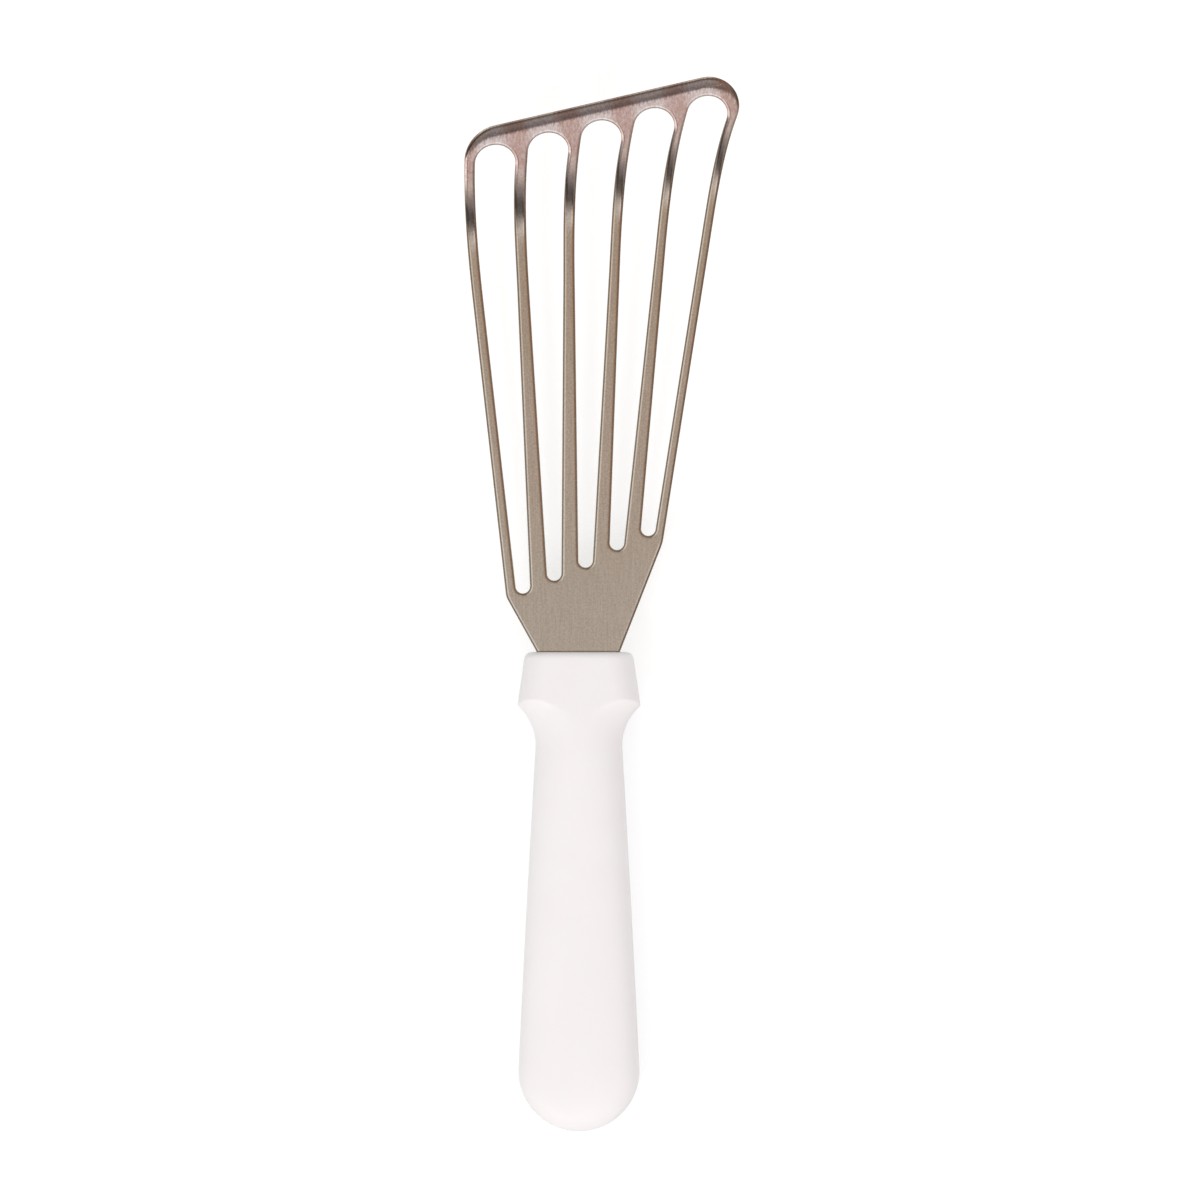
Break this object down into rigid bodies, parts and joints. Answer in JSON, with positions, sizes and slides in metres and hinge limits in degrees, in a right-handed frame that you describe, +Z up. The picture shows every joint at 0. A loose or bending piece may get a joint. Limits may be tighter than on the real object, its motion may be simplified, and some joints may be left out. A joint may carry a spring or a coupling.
{
  "type": "fish spatula",
  "caption": "Fish spatula: a long slotted steel blade, slanted and turned up at its tip, in a smooth white moulded handle with a finger guard.",
  "frame": {"origin": "on the surface that the tool lies on, below the middle of its outline seen from above", "axes": "+Y from the handle to the tip, +X to the right, +Z up, the side that the tip turns up to"},
  "size_m": [0.08, 0.3058, 0.0204],
  "materials": {
    "steel": "satin, brushed lengthwise",
    "plastic": "smooth white moulded plastic with a soft sheen"
  },
  "bodies": {
    "root": {"blade": "steel", "handle": "plastic"}
  },
  "joints": []
}
